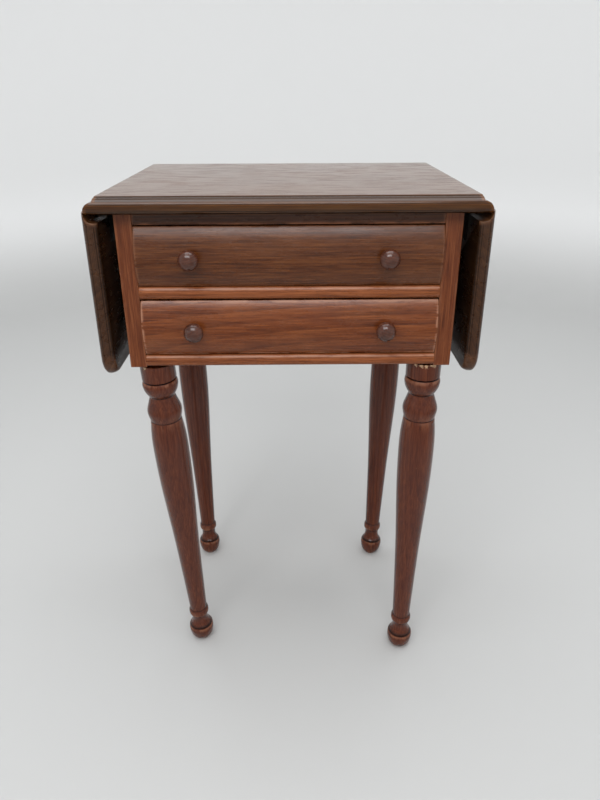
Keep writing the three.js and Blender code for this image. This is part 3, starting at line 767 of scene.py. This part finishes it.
def merged_levels(levels):
    """Levels from the top down, leaving out those that fall on another."""
    kept = []
    for level in sorted(levels, key=lambda one: (-one[0], -one[1])):
        if not kept or kept[-1][0] - level[0] > 0.04 or kept[-1][0] == level[0] == TOP:
            kept.append(level)
    return kept


def hinge_places():
    """The four hinges as (name, side, place, y of the middle), read from their pins."""
    for side_name, side in (("left", -1), ("right", 1)):
        for place in ("front", "back"):
            low, high = corners(f"{side_name}_{place}_hinge_pin")
            yield f"{side_name}_{place}_hinge", side, (low.y + high.y) / 2


def top_board():
    """The fixed top: a flat field, moulded front and back edges, and a rule joint's round at each end."""
    hinge_x = RULE["hinge_x"]
    levels = merged_levels(moulded_levels() + joint_levels(RULE_RADIUS))
    rings = []
    for z, inset, worn in levels:
        over = max(0.0, inset - MOULDING["run"]) if z > TOP - 0.4 else 0.0
        reach = hinge_x + rule_reach(z, RULE_RADIUS, 0.0) - over
        # Below its fillet the rule joint's round is painted shade (-0.6); higher up the ends take the
        # level's wear and shade.
        end_wear_and_shade = worn if z > TOP - 1 else (-0.6 if z < TOP - RULE["fillet"] + 0.2 else 0.0)
        half = HALF_DEPTH - inset
        one = ring((-reach, reach), half, (EDGE,) * 4, z, end_wear_and_shade, worn, (2 * hinge_x, 2 * HALF_DEPTH))
        rings.append([((x, y + Y_MIDDLE, z), w) for (x, y, z), w in one])
    thing = stacked("top_board_wood", rings)
    rub(thing, 0.5)
    beds = []
    for _, side, y in hinge_places():
        near = [side * (hinge_x - HINGE["board_reach"] - FIT), side * (hinge_x + RULE_RADIUS + 5)]
        trench = [side * (hinge_x - HINGE["trench"]), side * (hinge_x + RULE_RADIUS + 5)]
        beds.append(bed(near, y, UNDERSIDE + HINGE["bed"]))
        beds.append(bed(trench, y, HINGE_Z + HINGE["trench"]))
    carve(thing, beds)
    return keep_crisp(thing)


def bed(x_span, y, top):
    """The box that one hinge takes out of an underside."""
    low, high = corners("right_front_hinge_leaf_plate")
    half = (high.y - low.y) / 2 + FIT
    return (min(x_span), y - half, UNDERSIDE - 1), (max(x_span), y + half, top)


def leaf(side):
    """A hanging leaf: moulded on three sides with two rounded corners, and coved along its hinges."""
    name = "right_leaf" if side > 0 else "left_leaf"
    width = HINGE_Z - corners(name)[0].z
    hinge_x = RULE["hinge_x"]
    lip = RULE["lip_clearance"]
    rings = []
    for z, inset, worn in merged_levels(moulded_levels() + joint_levels(COVE_RADIUS)):
        over = max(0.0, inset - MOULDING["run"]) if z > TOP - 0.4 else 0.0
        cove = hinge_x + rule_reach(z, COVE_RADIUS, lip) + over
        # Near the top the cove takes the level's value, painted shade in the quirk.
        cove_wear_and_shade = worn if z > TOP - 1 else 0.0
        radii = (LEAF_CORNER - inset, EDGE, EDGE, LEAF_CORNER - inset)
        span = (cove, hinge_x + width - inset)
        wear_and_shade = (max(cove_wear_and_shade, worn), worn)
        rings.append(ring(span, HALF_DEPTH - inset, radii, z, *wear_and_shade, (width, 2 * HALF_DEPTH)))
    thing = stacked(name + "_wood", rings)
    rub(thing, 0.5)
    beds = []
    for _, hinge_side, y in hinge_places():
        if hinge_side == side:
            reach = [hinge_x, hinge_x + HINGE["leaf_reach"] + FIT]
            beds.append(bed(reach, (y - Y_MIDDLE) * side, UNDERSIDE + HINGE["bed"]))
    carve(thing, beds)
    hang = Matrix.Translation((hinge_x * MM, 0, HINGE_Z * MM)) @ Matrix.Rotation(math.pi / 2, 4, "Y")
    hang = hang @ Matrix.Translation((-hinge_x * MM, 0, -HINGE_Z * MM))
    half_turn = Matrix.Rotation(math.pi if side < 0 else 0, 4, "Z")
    thing.data.transform(Matrix.Translation((0, Y_MIDDLE * MM, 0)) @ half_turn @ hang)
    return keep_crisp(thing)


finish(top_board(), TOP_WOOD, "case", "top_board")
for hand, side in (("left", -1), ("right", 1)):
    finish(leaf(side), SHADED_LEAF_WOOD, hand + "_leaf", hand + "_leaf")


# ---------------------------------------------------------------- hinges


def screws(name, places, towards):
    """Slotted countersunk screw heads facing one way, each slot at an angle of its own."""
    head_points, head_faces = screw_head()
    stand = Vector((0, 0, 1)).rotation_difference(Vector(towards)).to_matrix()
    points = []
    faces = []
    for order, place in enumerate(places):
        base = len(points)
        turn = Matrix.Rotation(0.7 + 1.9 * order, 3, "Z")
        points += [Vector(place) + stand @ (turn @ point) for point in head_points]
        faces += [tuple(base + i for i in face) for face in head_faces]
    return keep_crisp(make(name, points, faces), 30)


def screw_head():
    """A disc with a slot across it: two half discs at the face and a floor sunk between them."""
    radius, slot, thick, steps = SCREW["radius"], SCREW["slot"], SCREW["thickness"], 10
    start = math.asin(slot / radius)
    arc = [start + (math.pi - 2 * start) * i / steps for i in range(steps + 1)]
    points = []
    faces = []
    for way in (-1, 1):
        base = len(points)
        rim = [(radius * math.cos(a), way * radius * math.sin(a)) for a in arc]
        points += [Vector((x, y, z)) for z in (0, -thick) for x, y in rim]
        faces += [tuple(base + i for i in face) for face in ring_faces(len(rim), 2)]
    base = len(points)
    inside = radius * 0.97
    floor = box_points((-inside, -slot, -thick), (inside, slot, -SCREW["slot_depth"]))
    points += [Vector(point) for point in floor]
    faces += [tuple(base + i for i in quad) for quad in BOX_FACES]
    return points, faces


def hinge(name, side, y):
    """The two plates of a rule-joint hinge with their screws."""
    hinge_x = RULE["hinge_x"]
    leaf_body = "right_leaf" if side > 0 else "left_leaf"
    for plate, body in (("board_plate", "case"), ("leaf_plate", leaf_body)):
        node = f"{name}_{plate}"
        finish(softened(node, 0.25), SHADED_HINGE_STEEL, body, node)
    low, _ = corners(name + "_board_plate")
    under = low.z - 0.02
    board_places = [(side * (hinge_x - x), y + dy, under) for x, dy in BOARD_PLATE_SCREWS]
    inner = side * (hinge_x - HINGE_Z + UNDERSIDE + SCREW["stand"])
    leaf_places = [(inner, y + dy, HINGE_Z - x) for x, dy in LEAF_PLATE_SCREWS]
    for part, places, towards, body in (
        ("board", board_places, (0, 0, -1), "case"),
        ("leaf", leaf_places, (-side, 0, 0), leaf_body),
    ):
        heads = screws(f"{name}_{part}_screws", places, towards)
        finish(heads, SHADED_HINGE_STEEL, body, None)


for hinge_name, hinge_side, hinge_y in hinge_places():
    hinge(hinge_name, hinge_side, hinge_y)


# ---------------------------------------------------------------- case


def case_side(hand, side):
    """One side of the case, its grain upright, with the recess that the fly bracket folds into."""
    thing = board(hand + "_side_wood", hand + "_side", "xyz")
    rub(thing, 0.4)
    low, high = corners(hand + "_fly_bracket")
    outer = side * max(abs(low.x), abs(high.x))
    fit = BRACKET["fit"]
    x = sorted((outer + side * (fit - BRACKET["depth"]), outer + side * (fit + 1)))
    carve(thing, [((x[0], low.y - fit, low.z - fit), (x[1], high.y + fit, high.z + 5))])
    return keep_crisp(thing)


def fly_bracket(hand, side):
    """A folded fly bracket: deep at its pivot, thin at its tip, with a swept lower edge between."""
    low, high = corners(hand + "_fly_bracket")
    tip, pull, flat = BRACKET["tip"], BRACKET["pull"], BRACKET["flat"]
    half = (high.x - low.x) / 2
    length = high.y - low.y - half
    drop = high.z - low.z
    sweep = [(0.0, tip)]
    for i in range(1, 25):
        t = i / 24
        a, b, c, d = (1 - t) ** 3, 3 * t * (1 - t) ** 2, 3 * t * t * (1 - t), t ** 3
        along = (b + c) * pull + d * (length - flat)
        sweep.append((along, (a + b) * tip + (c + d) * drop))
    outline = [(0, 0, EDGE), (length, 0, 0), (length, drop, 0)] + [(u, v, 0) for u, v in reversed(sweep)]
    start = low.y if side > 0 else high.y
    placed = [(start + side * u, high.z - v, r) for u, v, r in outline]
    if side > 0:
        placed.reverse()
    thing = beam(hand + "_fly_bracket_wood", placed, low.x, high.x, "yzx", 0.5)
    barrel = [(half, 0, 0), (half, drop, 0)]
    x, pivot_y = (low.x + high.x) / 2, start + side * length
    foot, head = (x, pivot_y, low.z), (x, pivot_y, high.z)
    knuckle = turned(hand + "_bracket_knuckle", (barrel,), foot, head, 32, 8)
    together = thing.modifiers.new("knuckle", "BOOLEAN")
    together.operation = "UNION"
    together.object = knuckle
    apply_modifiers(thing)
    bpy.data.objects.remove(knuckle)
    return keep_crisp(thing)


def nosed_rail(node):
    """A front rail whose face is rounded where it stands proud of the case."""
    low, high = corners(node)
    face = corners("right_side")[0].y
    middle = (low.z + high.z) / 2
    half = (high.z - low.z) / 2
    nose = face - low.y
    arc = []
    for i in range(17):
        angle = math.pi / 2 + math.pi * i / 16
        arc.append((face + nose * math.cos(angle), middle + half * math.sin(angle), 0))
    outline = [(high.y, low.z, EDGE), (high.y, high.z, EDGE)] + arc
    thing = beam(node + "_wood", outline, low.x, high.x, "yzx")
    values = thing.data.attributes["wear_and_shade"].data
    for vertex, value in zip(thing.data.vertices, values):
        height = (vertex.co.z / MM - middle) / half
        proud = (face - vertex.co.y / MM) / nose
        # The proud nose gets a band painted lighter as a highlight along its top, which rub() also wears in.
        if proud > 0.02:
            value.value = max(0.0, 1 - 3 * abs(height - RUB_AND_HIGHLIGHT_HEIGHT))
    rub(thing, 0.35)
    return keep_crisp(thing)


for hand, side in (("left", -1), ("right", 1)):
    finish(case_side(hand, side), CASE_WOOD, "case", hand + "_side")
    finish(fly_bracket(hand, side), BRACKET_WOOD, "case", hand + "_fly_bracket")
for node in ("middle_rail", "bottom_rail"):
    finish(nosed_rail(node), RAIL_WOOD, "case", node)
for node, wood_of_node in (("top_rail", SHADED_TOP_RAIL_WOOD), ("back_panel", BACK_WOOD)):
    finish(keep_crisp(board(node + "_wood", node, "yzx")), wood_of_node, "case", node)

for node in sorted(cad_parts):
    if node.endswith(("_runner", "_kicker")):
        finish(softened(node), INSIDE_WOODS["y"], "case", node)
    if node.endswith(("_leg_block", "_drawer_stop")):
        finish(softened(node), INSIDE_WOODS["x"], "case", node)
    if node.endswith("_leg_dowel"):
        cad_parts[node].data.materials[0] = INSIDE_WOODS["z"]
    if node.endswith("_pin"):
        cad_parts[node].data.materials[0] = SHADED_HINGE_STEEL


# ---------------------------------------------------------------- legs


for node, (head, foot) in LEGS.items():
    top = corners(node)[1].z
    base = (foot[0], foot[1] + Y_MIDDLE, 0)
    case_end = (head[0], head[1] + Y_MIDDLE, corners("right_side")[0].z)
    over = (top - case_end[2]) / case_end[2]
    end = Vector(case_end) + (Vector(case_end) - Vector(base)) * over
    turning = turned(node + "_turned", LEG_RUNS, base, end, level_ends=True)
    rub(turning, 0.5)
    finish(keep_crisp(turning, 60), LEG_WOOD, "case", node)


# ---------------------------------------------------------------- drawers


def drawer_front(name):
    """A drawer front with a rounded face, rubbed along its top, and sockets for the sides' dovetails."""
    low, high = corners(name + "_front")
    face = corners("right_side")[0].y
    half = (high.z - low.z) / 2
    middle = (high.z + low.z) / 2
    bulge = face - low.y
    radius = (half ** 2 + bulge ** 2) / (2 * bulge)
    sweep = math.asin(half / radius)
    arc = []
    for i in range(1, 24):
        angle = math.pi - sweep + 2 * sweep * i / 24
        arc.append((low.y + radius + radius * math.cos(angle), middle + radius * math.sin(angle), 0))
    outline = [(high.y, low.z, EDGE), (high.y, high.z, EDGE), (face, high.z, 1.0), *arc, (face, low.z, 1.0)]
    thing = beam(name + "_front_wood", outline, low.x, high.x, "yzx", DRAWER["edge"])
    values = thing.data.attributes["wear_and_shade"].data
    for vertex, value in zip(thing.data.vertices, values):
        if vertex.co.y / MM < face + 0.5 and vertex.co.z > middle * MM:
            edge = high.z - vertex.co.z / MM
            value.value = max(value.value, 1 - edge / 6)
    rub(thing, 0.4)
    subtract(thing, socket_waste(name, high.y))
    return keep_crisp(thing)


def socket_waste(name, inner_face):
    """The wedges that a drawer front's dovetail sockets take out, grown by the fit."""
    points = []
    faces = []
    for hand, side in (("left", -1), ("right", 1)):
        low, high = corners(f"{name}_{hand}_side")
        pitch = (high.z - low.z) / DRAWER["tails"]
        half = pitch * DRAWER["tail_share"]
        root = half * DRAWER["root_share"]
        inner = min(abs(low.x), abs(high.x)) - FIT
        tip = inner_face - DRAWER["tail_length"] - FIT
        for tail in range(DRAWER["tails"]):
            z = low.z + pitch * (tail + 0.5)
            wedge = [(inner_face + 1, z - root - FIT), (inner_face + 1, z + root + FIT)]
            wedge += [(tip, z + half + FIT), (tip, z - half - FIT)]
            base = len(points)
            points += [(x, *corner) for x in (side * inner, side * (inner + 30)) for corner in wedge]
            faces += [tuple(base + i for i in face) for face in ring_faces(4, 2)]
    return make(name + "_sockets", points, faces)


def knob(node):
    """A turned knob head on its waisted neck, with the tenon that goes through the drawer front."""
    low, high = corners(node)
    x, z = (low.x + high.x) / 2, (low.z + high.z) / 2
    seat, front = low.y + KNOB["reach"], low.y - KNOB["reach"]
    radius, end = KNOB["tenon_radius"], -KNOB["tenon_length"]
    tenon = (((0.02, end, 0), (radius, end, 0)), ((radius, 0, 0), (KNOB_RUNS[0][1][0], 0, 0)))
    thing = turned(node + "_turned", tenon + KNOB_RUNS, (x, seat, z), (x, front, z), KNOB["steps"], 6)
    return keep_crisp(thing, 50)


for drawer in ("upper_drawer", "lower_drawer"):
    wood_of_front = UPPER_DRAWER_WOOD if drawer == "upper_drawer" else LOWER_DRAWER_WOOD
    finish(drawer_front(drawer), wood_of_front, drawer, drawer + "_front")
    for part, grain in (("left_side", "y"), ("right_side", "y"), ("back", "x"), ("bottom", "x")):
        node = f"{drawer}_{part}"
        finish(softened(node, 0.4), INSIDE_WOODS[grain], drawer, node)
    for hand in ("left", "right"):
        node = f"{drawer}_{hand}_knob"
        finish(knob(node), KNOB_WOOD, drawer, node)


# ---------------------------------------------------------------- backdrop, light and camera


def backdrop():
    """A pale floor that sweeps up into a round wall on every side."""
    reach, cove, rise, steps = 2000, 500, 1900, 96
    outline = [(250 * i, 0) for i in range(1, reach // 250 + 1)]
    sweep = [math.pi / 2 * i / 12 for i in range(1, 13)]
    outline += [(reach + cove * math.sin(a), cove - cove * math.cos(a)) for a in sweep]
    outline.append((reach + cove, rise))
    around = [2 * math.pi * i / steps for i in range(steps)]
    points = [(0, 0, 0)]
    for radius, height in outline:
        points += [(radius * math.cos(a), radius * math.sin(a), height) for a in around]
    faces = [(0, 1 + i, 1 + (i + 1) % steps) for i in range(steps)]
    for level in range(len(outline) - 1):
        for i in range(steps):
            a = 1 + level * steps + i
            b = 1 + level * steps + (i + 1) % steps
            faces.append((a, a + steps, b + steps, b))
    thing = make("backdrop", points, faces)
    paint = plaster("backdrop_paint", (192, 192, 190), (166, 166, 165), (238, 238, 237))
    thing.data.materials.append(paint)


def area_light(name, place, target, size, watts, colour):
    """A large soft rectangle of light facing a point."""
    lamp = bpy.data.lights.new(name, "AREA")
    lamp.shape = "RECTANGLE"
    lamp.size, lamp.size_y = size
    lamp.energy = watts
    lamp.color = colour
    thing = bpy.data.objects.new(name, lamp)
    thing.location = place
    thing.rotation_euler = (Vector(target) - Vector(place)).to_track_quat("-Z", "Y").to_euler()
    bpy.context.scene.collection.objects.link(thing)


def sky():
    """Even soft daylight, a little bluer and brighter overhead."""
    world = bpy.data.worlds.new("daylight")
    world.use_nodes = True
    tree = world.node_tree
    way = tree.nodes.new("ShaderNodeTexCoord")
    parts = tree.nodes.new("ShaderNodeSeparateXYZ")
    tree.links.new(way.outputs["Generated"], parts.inputs[0])
    shade = tree.nodes.new("ShaderNodeValToRGB")
    shade.color_ramp.elements[0].color = (0.55, 0.55, 0.55, 1)
    shade.color_ramp.elements[1].color = (0.93, 0.96, 1.0, 1)
    tree.links.new(parts.outputs["Z"], shade.inputs[0])
    tree.links.new(shade.outputs[0], tree.nodes["Background"].inputs["Color"])
    tree.nodes["Background"].inputs["Strength"].default_value = 0.8
    bpy.context.scene.world = world


def camera():
    """The camera, a little above the table and straight in front of it."""
    lens = bpy.data.cameras.new("camera")
    lens.lens = CAMERA["lens"]
    lens.sensor_width = CAMERA["sensor"]
    pan, tilt, roll = (
        Matrix.Rotation(math.radians(angle), 4, axis)
        for angle, axis in ((CAMERA["pan"], "Z"), (90 - CAMERA["down"], "X"), (CAMERA["roll"], "Z"))
    )
    thing = bpy.data.objects.new("camera", lens)
    thing.matrix_world = Matrix.Translation(CAMERA["place"]) @ pan @ tilt @ roll
    bpy.context.scene.collection.objects.link(thing)
    bpy.context.scene.camera = thing


backdrop()
sky()
area_light("overhead", (0.0, 0.0, 2.4), (0, 0, 0.5), (1.8, 1.6), 26, (0.98, 0.985, 1.0))
area_light("front", (-0.2, -1.5, 2.0), (0, 0, 0.5), (1.5, 0.9), 24, (0.97, 0.98, 1.0))
camera()
bpy.context.scene.view_settings.view_transform = "Standard"

bpy.context.view_layer.update()
